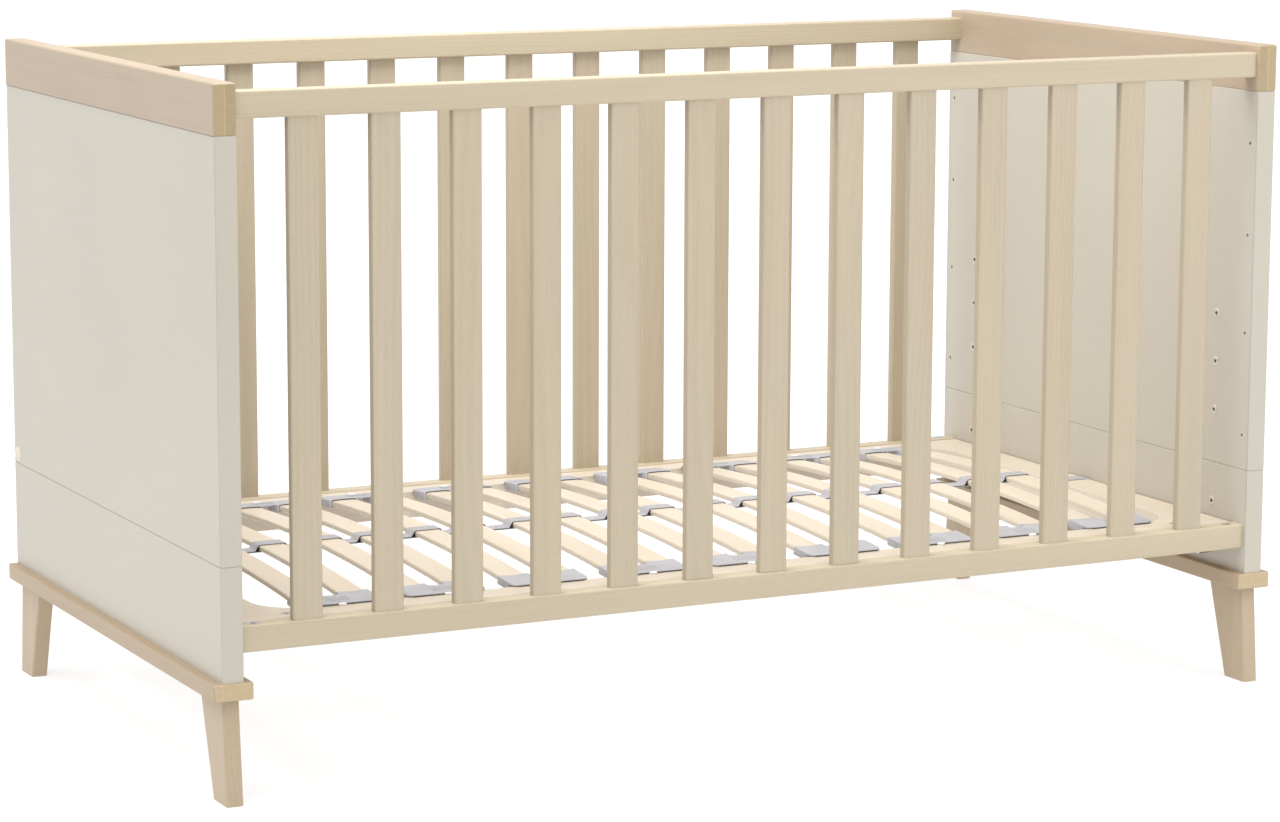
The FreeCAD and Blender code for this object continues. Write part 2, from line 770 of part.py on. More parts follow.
def make_base_frame():
    height = ("base_bottom", "base_top")
    for side, name in ((FRONT, "base_front_rail"), (REAR, "base_rear_rail")):
        block = box("base_rail_block", both_ways("base_half_length"),
                    mirrored(("base_rail_inner", "base_half_depth"), side), height)
        outer = side * SIZES["base_half_depth"]
        block = soften("base_rail_rounded", block, "base_round",
                       lambda edge: runs_along(edge, 0) and touches(edge, 1, outer))
        tools = [rod("peg_hole", "peg_radius + fit_gap", "base_top - peg_bottom + 1.5",
                     x=pair_x(pair), y=signed("peg_y", side), z="peg_bottom - socket_play")
                 for pair in range(SLAT_PAIRS)]
        for end in (LEFT, RIGHT):
            centre = base_cam_place(side, end)
            pocket = rod("base_cam_pocket", "cam_radius + fit_gap", "cam_depth + fit_gap + 1",
                         z="base_top - cam_depth - fit_gap", **centre)
            bore = rod("base_bolt_bore", "cam_channel", "cam_inset + 1",
                       z="base_top - cam_bolt_drop", along=(0, -side, 0), **centre)
            tools.append(fuse("base_cam_bores", [pocket, bore]))
        node(name, cut("base_rail", block, tools))

    opening = box("opening_block", both_ways("base_open_half"), both_ways("base_rail_inner"),
                  ("base_bottom - 1", "base_top + 1"))
    opening = soften("opening", opening, "base_open_round", lambda edge: runs_along(edge, 2))
    for end, name in ((LEFT, "base_left_board"), (RIGHT, "base_right_board")):
        span = mirrored(("base_board_start", "base_half_length"), end)
        block = box("base_board_block", span, both_ways("base_rail_inner"), height)
        holes = [rod("base_bolt_hole", "cam_bolt_radius + fit_gap", "cam_thread + 1.5",
                     x=signed("base_cam_x", end), y=signed("base_rail_inner + 1", side),
                     z="base_top - cam_bolt_drop", along=(0, -side, 0))
                 for side in (FRONT, REAR)]
        node(name, cut("base_board", block, [opening] + holes))


def pair_x(pair):
    """The middle of a pair of slats along the crib."""
    return f"({pair - (SLAT_PAIRS - 1) / 2}) * pair_pitch"


def slat_x(pair, end):
    """The middle of one slat of a pair along the crib."""
    return f"{pair_x(pair)} + ({end}) * slat_offset"


def slat_master():
    """A slat bent to a large arc across the crib; it is padded from x = 0 along its width."""
    body = doc.addObject("PartDesign::Body", "slat_master")
    sketch = new_sketch(body, "YZ_Plane")
    half, middle = SIZES["slat_half_length"], SIZES["slat_crown"] - SIZES["slat_bend"]
    centre = Vector(0, middle, 0)
    for offset, sign in ((0.5, "+"), (-0.5, "-")):
        radius = SIZES["slat_bend"] + offset * SIZES["slat_thick"]
        lean = math.asin(half / radius)
        circle = Part.Circle(centre, Vector(0, 0, 1), radius)
        arc = Part.ArcOfCircle(circle, math.pi / 2 - lean, math.pi / 2 + lean)
        number = sketch.addGeometry(arc, False)
        drive(sketch, "DistanceX", (-1, 1, number, 3), 0.0, "0")
        drive(sketch, "DistanceY", (-1, 1, number, 3), middle, "slat_crown - slat_bend")
        drive(sketch, "Radius", (number,), radius, f"slat_bend {sign} slat_thick / 2")
        drive(sketch, "DistanceX", (-1, 1, number, 1), half, "slat_half_length")
        drive(sketch, "DistanceX", (-1, 1, number, 2), -half, "-slat_half_length")
    upper, lower = sketch.Geometry[0], sketch.Geometry[1]
    for arc_end, point in ((1, "StartPoint"), (2, "EndPoint")):
        line = sketch.addGeometry(
            Part.LineSegment(getattr(upper, point), getattr(lower, point)), False)
        sketch.addConstraint(Sketcher.Constraint("Coincident", line, 1, 0, arc_end))
        sketch.addConstraint(Sketcher.Constraint("Coincident", line, 2, 1, arc_end))
    feature = pad(body, sketch, "slat_width")
    round_body(body, feature, "slat_round",
               lambda edge: len(edge.Vertexes) == 2 and edge.Length > SIZES["slat_half_length"])
    return body


def make_slats():
    slat = slat_master()
    for pair in range(SLAT_PAIRS):
        name = f"slat_pair_{pair + 1}"
        slats = [copy("slat", slat, slat_x(pair, end) + " - slat_width / 2")
                 for end in (LEFT, RIGHT)]
        node(name, group(name, slats))


def holder_master():
    """A front holder: two sleeves for slat ends, joined by a plate that lies on the base rail.

    The local origin is the middle of the slats' thickness, and -Y is the outer side.
    """
    inner_edge = "slat_offset - slat_width / 2 - holder_wall"
    blocks = [
        box("holder_sleeve", mirrored((inner_edge, "holder_half_width"), end),
            ("-holder_sleeve_end", "holder_half_depth"), ("-holder_down", "holder_up"))
        for end in (LEFT, RIGHT)
    ]
    blocks.append(box("holder_plate", both_ways("holder_half_width"),
                      ("-holder_half_depth", "holder_bridge_end"),
                      ("holder_lip", "holder_up")))
    whole = doc.addObject("Part::Refine", "holder_whole")
    whole.Source = fuse("holder_blocks", blocks)
    outer = -SIZES["holder_half_depth"]
    whole = soften("holder_cornered", whole, "holder_corner",
                   lambda edge: runs_along(edge, 2) and touches(edge, 1, outer))
    top = SIZES["holder_up"]
    whole = soften("holder_edged", whole, "holder_edge", lambda edge: touches(edge, 2, top))
    tools = []
    for end in (LEFT, RIGHT):
        half = "slat_width / 2 + holder_play"
        span = (f"slat_offset - ({half})", f"slat_offset + {half}")
        tools.append(box("slat_socket", mirrored(span, end),
                         ("-holder_socket_end", "holder_half_depth + 1"),
                         both_ways("slat_thick / 2 + holder_play")))
    tools.append(rod("peg_notch", "peg_radius + peg_play", "holder_up + 1",
                     y="holder_y - peg_y"))
    return cut("holder_master", whole, tools)


def make_holders_and_pegs():
    holder = holder_master()
    slope = math.degrees(math.asin(SIZES["holder_y"] / SIZES["slat_bend"]))
    drop = SIZES["slat_bend"] * (1 - math.cos(math.radians(slope)))
    holders, pegs = [], {FRONT: [], REAR: []}
    for pair in range(SLAT_PAIRS):
        holders.append(copy("holder", holder, pair_x(pair), "-holder_y",
                            f"slat_crown - {drop:.3f}", turn(slope, (1, 0, 0))))
        for side in (FRONT, REAR):
            pegs[side].append(rod("peg", "peg_radius", "peg_top - peg_bottom", x=pair_x(pair),
                                  y=signed("peg_y", side), z="peg_bottom"))
    front = node("front_slat_holders", group("front_slat_holders", holders))
    node("rear_slat_holders", mirror("rear_slat_holders", front, (0, 1, 0)))
    node("holder_pegs", group("holder_pegs", pegs[FRONT] + pegs[REAR]))


def make_belt():
    """Webbing woven round the slats: a lower ply all along, and an upper ply over each slat."""
    width = both_ways("belt_half_width")
    slat_low, slat_high = "slat_crown - slat_thick / 2", "slat_crown + slat_thick / 2"
    low = f"{slat_low} - belt_play - belt_ply"
    last = slat_x(SLAT_PAIRS - 1, RIGHT) + " + slat_width / 2 + belt_side"
    strip = box("belt_lower_ply", both_ways(last), width, (low, f"{low} + belt_ply"))

    half = "slat_width / 2"
    outer = box("belt_loop_outer", both_ways(f"{half} + belt_side"), width,
                (low, f"{slat_high} + belt_play + belt_ply"))
    window = box("belt_loop_window", both_ways(f"{half} + belt_play"),
                 both_ways("belt_half_width + 1"),
                 (f"{slat_low} - belt_play", f"{slat_high} + belt_play"))
    loop = cut("belt_loop", outer, [window])
    loops = [copy("belt_loop_at_slat", loop, slat_x(pair, end))
             for pair in range(SLAT_PAIRS) for end in (LEFT, RIGHT)]

    tail = doc.addObject("PartDesign::Body", "belt_tail")
    sketch = new_sketch(tail, "XZ_Plane")
    draw_outline(sketch, [
        (f"{last} - belt_lap", low),
        ("belt_tail_bend - belt_tail_ease", "base_top"),
        ("belt_tail_end", "base_top"),
        ("belt_tail_end", "base_top + belt_ply"),
        ("belt_tail_bend", "base_top + belt_ply"),
        (f"{last} - belt_lap", f"{low} + belt_ply"),
    ])
    pad(tail, sketch, "2 * belt_half_width")
    place(tail, y="belt_half_width")
    other_tail = mirror("belt_other_tail", tail, (1, 0, 0))
    node("centre_belt", fuse("centre_belt", [strip, tail, other_tail] + loops))


# ---------------------------------------------------------------- build and export

def check(item):
    """Stops if an object has failed or its shape isn't sound."""
    if "Invalid" in item.State or "Error" in item.State:
        raise ValueError(f"{item.Label} failed: {item.State}")


def export_nodes():
    os.makedirs("parts", exist_ok=True)
    for item in doc.Objects:
        check(item)
    for item in nodes:
        if item.Shape.isNull() or not item.Shape.isValid() or item.Shape.Volume <= 0:
            raise ValueError(f"{item.Label} has no sound shape")
    for item in nodes:
        item.Shape.exportStep(f"parts/{item.Label}.step")
    print(len(nodes), "sub-parts,", sum(len(item.Shape.Solids) for item in nodes), "solids")


make_sheet()
for panel_end in (LEFT, RIGHT):
    make_end_panel(panel_end)
make_gates()
make_base_frame()
make_slats()
make_holders_and_pegs()
make_belt()
make_cam_fixings()
make_dowels()
make_leg_bolts()
make_inserts_and_pins()
make_plugs()
doc.recompute()
export_nodes()
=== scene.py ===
import itertools
import math

import bmesh
import bpy
from mathutils import Matrix, Vector


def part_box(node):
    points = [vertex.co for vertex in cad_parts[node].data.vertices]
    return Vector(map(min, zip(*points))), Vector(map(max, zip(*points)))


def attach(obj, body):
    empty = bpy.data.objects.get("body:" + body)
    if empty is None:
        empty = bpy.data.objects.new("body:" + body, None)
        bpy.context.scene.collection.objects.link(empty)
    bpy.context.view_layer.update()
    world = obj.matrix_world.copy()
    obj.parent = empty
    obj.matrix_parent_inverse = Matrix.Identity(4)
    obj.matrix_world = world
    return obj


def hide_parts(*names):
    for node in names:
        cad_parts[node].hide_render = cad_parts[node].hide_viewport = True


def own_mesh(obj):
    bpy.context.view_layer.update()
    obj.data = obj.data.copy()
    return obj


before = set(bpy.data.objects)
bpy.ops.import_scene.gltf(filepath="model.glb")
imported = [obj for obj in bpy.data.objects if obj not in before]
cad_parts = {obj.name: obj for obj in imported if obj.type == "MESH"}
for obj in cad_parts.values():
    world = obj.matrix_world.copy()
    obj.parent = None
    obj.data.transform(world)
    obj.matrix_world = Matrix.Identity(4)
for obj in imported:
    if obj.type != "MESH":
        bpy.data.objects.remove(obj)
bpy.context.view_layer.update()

MM = 0.001
AXES = "XYZ"


# ---------------------------------------------------------------- camera, floor and light

# The camera stands to the front left, about 1.2 m up, and looks slightly down.
CAMERA_PLACE = (-2.28094, -4.54201, 1.21230)
CAMERA_YAW = 0.46595
CAMERA_PITCH = 0.16678
CAMERA_ROLL = 0.00346
CAMERA_LENS = 110.176
SENSOR = 36.0

FLOOR_HALF = 60.0
FLOOR_COLOUR = (0.36, 0.36, 0.36, 1.0)
FLOOR_GLOW = 0.68

# How bright the sky is from straight below to straight above, and in front and behind.
SKY_STOPS = ((0.40, 0.80), (0.50, 1.0), (0.59, 0.90), (0.66, 0.40), (0.90, 0.60), (1.0, 1.1))
SKY_FRONT = 0.75
SKY_BACK = 1.15
SUN_POWER = 2.8
SUN_SOFTNESS = math.radians(80)
SUN_FROM = (-0.32, -0.16, 1.0)

# Each lamp: its name, place, target, size in metres and power in watts.
LAMPS = (
    ("side_lamp", (2.1, -2.9, 1.7), (0.75, -0.38, 0.45), 1.6, 28.0),
    ("top_lamp", (-0.6, -0.1, 2.0), (0.6, 0.1, 0.5), 0.8, 15.0),
    ("rear_lamp", (-0.1, -0.3, 1.9), (-0.1, 0.36, 0.45), 0.9, 4.5),
)


def make_camera():
    """A long lens without shift, turned by its yaw, pitch and roll."""
    forward = Vector((math.sin(CAMERA_YAW) * math.cos(CAMERA_PITCH),
                      math.cos(CAMERA_YAW) * math.cos(CAMERA_PITCH),
                      -math.sin(CAMERA_PITCH)))
    right = Vector((math.cos(CAMERA_YAW), -math.sin(CAMERA_YAW), 0.0))
    up = right.cross(forward)
    across = right * math.cos(CAMERA_ROLL) + up * math.sin(CAMERA_ROLL)
    upright = up * math.cos(CAMERA_ROLL) - right * math.sin(CAMERA_ROLL)
    data = bpy.data.cameras.new("camera")
    data.lens = CAMERA_LENS
    data.sensor_width = SENSOR
    data.clip_end = 200.0
    camera = bpy.data.objects.new("camera", data)
    turn = Matrix((across, upright, -forward)).transposed().to_4x4()
    camera.matrix_world = Matrix.Translation(CAMERA_PLACE) @ turn
    bpy.context.scene.collection.objects.link(camera)
    bpy.context.scene.camera = camera


def make_floor():
    """A wide matt floor that glows a little, so that it stays pale under the crib."""
    half = FLOOR_HALF
    mesh = bpy.data.meshes.new("floor")
    mesh.from_pydata([(-half, -half, 0), (half, -half, 0), (half, half, 0), (-half, half, 0)],
                     [], [(0, 1, 2, 3)])
    floor = bpy.data.objects.new("floor", mesh)
    bpy.context.scene.collection.objects.link(floor)
    material = bpy.data.materials.new("floor")
    material.use_nodes = True
    shader = material.node_tree.nodes["Principled BSDF"]
    shader.inputs["Base Color"].default_value = FLOOR_COLOUR
    shader.inputs["Roughness"].default_value = 0.9
    shader.inputs["Specular IOR Level"].default_value = 0.1
    shader.inputs["Emission Color"].default_value = (1, 1, 1, 1)
    shader.inputs["Emission Strength"].default_value = FLOOR_GLOW
    mesh.materials.append(material)


def make_light():
    """A white studio: a sky that is brightest at eye level, a very soft sun and the lamps."""
    world = bpy.data.worlds.new("studio")
    world.use_nodes = True
    nodes, links = world.node_tree.nodes, world.node_tree.links
    place = nodes.new("ShaderNodeTexCoord")
    split = nodes.new("ShaderNodeSeparateXYZ")
    level = nodes.new("ShaderNodeMapRange")
    level.inputs["From Min"].default_value = -1.0
    ramp = nodes.new("ShaderNodeValToRGB")
    set_stops(ramp, [(at, (value, value, value, 1.0)) for at, value in SKY_STOPS])
    links.new(place.outputs["Generated"], split.inputs[0])
    links.new(split.outputs["Z"], level.inputs["Value"])
    links.new(level.outputs["Result"], ramp.inputs[0])
    links.new(ramp.outputs[0], nodes["Background"].inputs["Color"])
    depth = nodes.new("ShaderNodeMapRange")
    for socket, value in (("From Min", -1.0), ("To Min", SKY_FRONT), ("To Max", SKY_BACK)):
        depth.inputs[socket].default_value = value
    links.new(split.outputs["Y"], depth.inputs["Value"])
    links.new(depth.outputs["Result"], nodes["Background"].inputs["Strength"])
    bpy.context.scene.world = world

    data = bpy.data.lights.new("sun", "SUN")
    data.energy = SUN_POWER
    data.angle = SUN_SOFTNESS
    sun = bpy.data.objects.new("sun", data)
    sun.rotation_euler = Vector(SUN_FROM).to_track_quat("Z", "Y").to_euler()
    bpy.context.scene.collection.objects.link(sun)

    for name, place, target, size, power in LAMPS:
        data = bpy.data.lights.new(name, "AREA")
        data.energy = power
        data.size = size
        lamp = bpy.data.objects.new(name, data)
        lamp.location = place
        away = Vector(place) - Vector(target)
        lamp.rotation_euler = away.to_track_quat("Z", "Y").to_euler()
        bpy.context.scene.collection.objects.link(lamp)
    bpy.context.scene.view_settings.view_transform = "Standard"


def set_stops(ramp, stops):
    """Gives a colour ramp its stops, from (place, colour) pairs."""
    elements = ramp.color_ramp.elements
    while len(elements) < len(stops):
        elements.new(0.5)
    for element, (place, colour) in zip(elements, stops):
        element.position = place
        element.color = colour


# ---------------------------------------------------------------- materials

def linear(red, green, blue):
    """A colour from its usual 0 to 255 values."""
    values = [value / 255 for value in (red, green, blue)]
    return tuple(v / 12.92 if v <= 0.04045 else ((v + 0.055) / 1.055) ** 2.4
                 for v in values) + (1.0,)


def shade(colour, factor):
    """The same colour, darker or lighter."""
    return tuple(min(value * factor, 1.0) for value in colour[:3]) + (1.0,)


class Recipe:
    """One procedural material, built node by node from the object's coordinates in metres."""

    def __init__(self, name, **shader_values):
        self.material = bpy.data.materials.new(name)
        self.material.use_nodes = True
        self.tree = self.material.node_tree
        self.shader = self.tree.nodes["Principled BSDF"]
        for socket, value in shader_values.items():
            self.shader.inputs[socket.replace("_", " ")].default_value = value
        self.point = self.add("ShaderNodeTexCoord").outputs["Object"]

    def add(self, kind, inputs=(), **settings):
        """A new node. Its inputs are numbers, or sockets to link from."""
        node = self.tree.nodes.new(kind)
        for key, value in settings.items():
            setattr(node, key, value)
        for socket, value in dict(inputs).items():
            if isinstance(value, bpy.types.NodeSocket):
                self.tree.links.new(value, node.inputs[socket])
            else:
                node.inputs[socket].default_value = value
        return node

    def scaled(self, scale, shift=(0, 0, 0), vector=None):
        """The object's coordinates, or another vector, scaled and shifted."""
        return self.add("ShaderNodeMapping", {
            "Vector": vector or self.point, "Scale": scale, "Location": shift}).outputs[0]

    def noise(self, vector, detail, roughness=0.5):
        return self.add("ShaderNodeTexNoise", {
            "Vector": vector, "Scale": 1.0, "Detail": detail,
            "Roughness": roughness}).outputs[0]

    def maths(self, operation, first, second=0.0, third=0.0):
        return self.add("ShaderNodeMath", {0: first, 1: second, 2: third},
                        operation=operation).outputs[0]

    def level(self, value, low, high, to_low=0.0, to_high=1.0):
        """The value taken from one range to another, and kept within it."""
        return self.add("ShaderNodeMapRange", {
            "Value": value, "From Min": low, "From Max": high,
            "To Min": to_low, "To Max": to_high}).outputs[0]

    def mix(self, factor, first, second, blend="MIX"):
        return self.add("ShaderNodeMix", {0: factor, 6: first, 7: second},
                        data_type="RGBA", blend_type=blend).outputs[2]

    def ramp(self, value, stops):
        node = self.add("ShaderNodeValToRGB", {0: value})
        set_stops(node, stops)
        return node.outputs[0]

    def facing(self, axis):
        """1 where the surface faces along the axis, 0 where it runs along it."""
        normal = self.add("ShaderNodeNewGeometry").outputs["Normal"]
        parts = self.add("ShaderNodeSeparateXYZ", {0: normal}).outputs
        return self.level(self.maths("ABSOLUTE", parts[AXES.index(axis)]), 0.6, 0.9)

    def band(self, axis, middle, half):
        """1 within a thin band on both sides of the crib, at the given distance along the axis."""
        parts = self.add("ShaderNodeSeparateXYZ", {0: self.point}).outputs
        away = self.maths("SUBTRACT", self.maths("ABSOLUTE", parts[AXES.index(axis)]), middle)
        return self.level(self.maths("ABSOLUTE", away), half, 0.6 * half)

    def edges(self, radius):
        """1 along the piece's edges, fading over the given width."""
        rounded = self.add("ShaderNodeBevel", {"Radius": radius}, samples=4).outputs[0]
        normal = self.add("ShaderNodeNewGeometry").outputs["Normal"]
        same = self.add("ShaderNodeVectorMath", {0: rounded, 1: normal},
                        operation="DOT_PRODUCT").outputs["Value"]
        return self.level(same, 0.995, 0.80)

    def finish(self, colour, roughness, height, depth):
        """Joins the made colour, roughness and relief, depth metres deep, to the shader."""
        bump = self.add("ShaderNodeBump", {"Height": height, "Distance": depth,
                                           "Strength": 1.0})
        self.tree.links.new(colour, self.shader.inputs["Base Color"])
        self.tree.links.new(roughness, self.shader.inputs["Roughness"])
        self.tree.links.new(bump.outputs[0], self.shader.inputs["Normal"])
        return self.material


def along(axis, lengthwise, crosswise):
    """A scale for the three axes, with its own value along the grain."""
    return tuple(lengthwise if name == axis else crosswise for name in AXES)


RING_PITCH = 3.5 * MM
YARN_PITCH = 1.3 * MM


def wood(name, axis, colour, end_colour, heart=(0, 0, 0), layers=False, glued=0.0, side=1.0):
    """Lacquered pale wood with its grain along an axis.

    heart is a point on the tree's middle line. The annual rings go round it, so it sets
    whether a face shows straight stripes or flames. Layers adds the plies of a glued slat.
    glued is the distance from the crib's middle to the joint between two glued halves.
    side is how bright the faces towards X are made beside the others: painted shade on a bar's
    narrow sides.
    """
    recipe = Recipe(name, Coat_Weight=0.35, Coat_Roughness=0.35, Coat_IOR=1.5, IOR=1.45)
    sway = recipe.noise(recipe.scaled(along(axis, 1.6, 7.0)), detail=1.0)
    swayed = recipe.add("ShaderNodeVectorMath", {
        0: recipe.point, 1: recipe.scaled((0.02, 0.02, 0.02), vector=sway),
    }, operation="ADD").outputs[0]
    ring_scale = 2 * math.pi / 20 / RING_PITCH
    rings = recipe.add("ShaderNodeTexWave", {
        "Vector": recipe.scaled(along(axis, 0.03, 1.0), shift=heart, vector=swayed),
        "Scale": ring_scale, "Distortion": 6.0, "Detail": 4.0, "Detail Scale": 0.30,
        "Detail Roughness": 0.6,
    }, wave_type="RINGS", rings_direction=axis, wave_profile="SIN").outputs[1]
    tones = recipe.noise(recipe.scaled(along(axis, 1.3, 30.0)), detail=3.0)
    streaks = recipe.noise(recipe.scaled(along(axis, 9.0, 300.0)), detail=3.0, roughness=0.6)
    fibres = recipe.noise(recipe.scaled(along(axis, 60.0, 1500.0)), detail=2.0)
    pores = recipe.level(recipe.noise(recipe.scaled(along(axis, 130.0, 1000.0)), detail=1.0),
                         0.62, 0.72)

    tone = recipe.maths("MULTIPLY_ADD", rings, 0.10, recipe.maths("MULTIPLY", tones, 0.50))
    tone = recipe.maths("MULTIPLY_ADD", streaks, 0.24, tone)
    tone = recipe.maths("MULTIPLY_ADD", fibres, 0.16, tone)
    surface = recipe.ramp(recipe.level(tone, 0.36, 0.64), (
        (0.0, shade(colour, 0.94)),
        (0.5, colour),
        (1.0, shade(colour, 1.045)),
    ))
    blush = recipe.noise(recipe.scaled(along(axis, 3.0, 12.0)), detail=2.0)
    surface = recipe.mix(recipe.level(blush, 0.40, 0.65, 0.0, 0.5), surface,
                         (1.0, 0.955, 0.93, 1.0), blend="MULTIPLY")
    surface = recipe.mix(recipe.maths("MULTIPLY", pores, 0.30), surface,
                         shade(colour, 0.70))
    if layers:
        surface = add_plies(recipe, surface, colour)
    # Painted shade: the faces towards X are darkened by the side factor.
    if side < 1:
        surface = recipe.mix(recipe.facing("X"), surface, (side, side, side, 1.0),
                             blend="MULTIPLY")
    end_tone = recipe.noise(recipe.scaled(along(axis, 20.0, 170.0)), detail=3.0)
    end = recipe.ramp(recipe.maths("MULTIPLY_ADD", rings, 0.25, end_tone), (
        (0.30, shade(end_colour, 0.90)), (0.85, shade(end_colour, 1.06))))
    if glued:
        end = add_glue_line(recipe, end, end_colour, glued)
    surface = recipe.mix(recipe.facing(axis), surface, end)
    # Painted highlight: the edges are made paler.
    surface = recipe.mix(recipe.maths("MULTIPLY", recipe.edges(1.5 * MM), 0.40), surface,
                         shade(colour, 1.25))
    roughness = recipe.level(streaks, 0.25, 0.75, 0.55, 0.45)
    height = recipe.maths("MULTIPLY_ADD", streaks, 0.6, recipe.maths("MULTIPLY", fibres, 0.4))
    height = recipe.maths("SUBTRACT", height, recipe.maths("MULTIPLY", pores, 0.5))
    return recipe.finish(surface, roughness, height, 0.06 * MM)


def add_plies(recipe, surface, colour):
    """Draws glue lines on the long edges of a slat, and paints shade on them where the belt is."""
    parts = recipe.add("ShaderNodeSeparateXYZ", {0: recipe.point}).outputs
    fall = recipe.maths("MULTIPLY", recipe.maths("MULTIPLY", parts["Y"], parts["Y"]),
                        0.5 / SLAT_BEND)
    level = recipe.maths("ADD", parts["Z"], fall)
    wave = recipe.maths("SINE", recipe.maths("MULTIPLY", level, 2 * math.pi / PLY_PITCH))
    lines = recipe.level(wave, 0.55, 0.95)
    sides = recipe.maths("MULTIPLY", recipe.facing("X"), recipe.maths("MULTIPLY", lines, 0.5))
    surface = recipe.mix(sides, surface, shade(colour, 0.62))
    # Painted shade on the slat's sides where the belt wraps round them.
    belt_painted_shade = recipe.level(recipe.maths("ABSOLUTE", parts["Y"]), BELT_HALF_WIDTH,
                           BELT_HALF_WIDTH - 1.0 * MM)
    return recipe.mix(recipe.maths("MULTIPLY", recipe.facing("X"), belt_painted_shade), surface,
                      shade(colour, 0.15))


def add_glue_line(recipe, end, end_colour, place):
    """Shows two glued halves on the end of a board: the outer one paler, a pale line between."""
    parts = recipe.add("ShaderNodeSeparateXYZ", {0: recipe.point}).outputs
    outer = recipe.level(recipe.maths("ABSOLUTE", parts["X"]), place, place + 0.5 * MM)
    end = recipe.mix(recipe.maths("MULTIPLY", outer, 0.6), end, shade(end_colour, 1.12))
    return recipe.mix(recipe.band("X", place, 0.8 * MM), end, shade(end_colour, 1.28))


def painted_board(name, colour):
    """Sprayed paint on a board: faintly uneven, with orange peel and a line at its banding."""
    recipe = Recipe(name, Coat_Weight=0.15, Coat_Roughness=0.30, IOR=1.47)
    clouds = recipe.noise(recipe.scaled((3.0, 3.0, 3.0)), detail=3.0)
    strokes = recipe.noise(recipe.scaled((90.0, 14.0, 90.0)), detail=3.0, roughness=0.6)
    peel = recipe.noise(recipe.scaled((420.0, 420.0, 420.0)), detail=2.0)
    tone = recipe.maths("MULTIPLY_ADD", strokes, 0.35, recipe.maths("MULTIPLY", clouds, 0.65))
    surface = recipe.ramp(tone, ((0.30, shade(colour, 0.965)), (0.70, shade(colour, 1.02))))
    # Painted highlight: the edges are made paler.
    surface = recipe.mix(recipe.maths("MULTIPLY", recipe.edges(1.2 * MM), 0.30), surface,
                         shade(colour, 1.15))
    banding = recipe.maths("MULTIPLY", recipe.facing("X"), recipe.band("Y", BANDING, 0.9 * MM))
    surface = recipe.mix(recipe.maths("MULTIPLY", banding, 0.55), surface, shade(colour, 0.70))
    roughness = recipe.level(peel, 0.3, 0.7, 0.42, 0.50)
    height = recipe.maths("MULTIPLY_ADD", strokes, 0.5, recipe.maths("MULTIPLY", peel, 0.5))
    return recipe.finish(surface, roughness, height, 0.05 * MM)


def moulded(name, colour, grain=900.0, low=0.45, high=0.62):
    """Moulded rubber or plastic: a fine spark-eroded grain, flow clouds and edges made paler, a
    painted highlight.
    """
    recipe = Recipe(name, IOR=1.5)
    clouds = recipe.noise(recipe.scaled((35.0, 35.0, 35.0)), detail=3.0)
    specks = recipe.noise(recipe.scaled((grain, grain, grain)), detail=2.0)
    tone = recipe.maths("MULTIPLY_ADD", specks, 0.45, recipe.maths("MULTIPLY", clouds, 0.55))
    surface = recipe.ramp(tone, ((0.32, shade(colour, 0.90)), (0.68, shade(colour, 1.06))))
    # Painted highlight: the edges are made paler.
    surface = recipe.mix(recipe.maths("MULTIPLY", recipe.edges(0.8 * MM), 0.30), surface,
                         shade(colour, 1.3))
    return recipe.finish(surface, recipe.level(specks, 0.3, 0.7, high, low), specks, 0.06 * MM)


def plated(name, colour, low=0.22, high=0.42):
    """Zinc-plated steel with fine turning lines and a patchy bloom."""
    recipe = Recipe(name, Metallic=1.0)
    bloom = recipe.noise(recipe.scaled((220.0, 220.0, 220.0)), detail=3.0)
    lines = recipe.noise(recipe.scaled((2600.0, 900.0, 300.0)), detail=2.0)
    tone = recipe.maths("MULTIPLY_ADD", lines, 0.4, recipe.maths("MULTIPLY", bloom, 0.6))
    surface = recipe.ramp(tone, ((0.30, shade(colour, 0.80)), (0.70, shade(colour, 1.10))))
    return recipe.finish(surface, recipe.level(bloom, 0.3, 0.7, low, high), lines, 0.02 * MM)


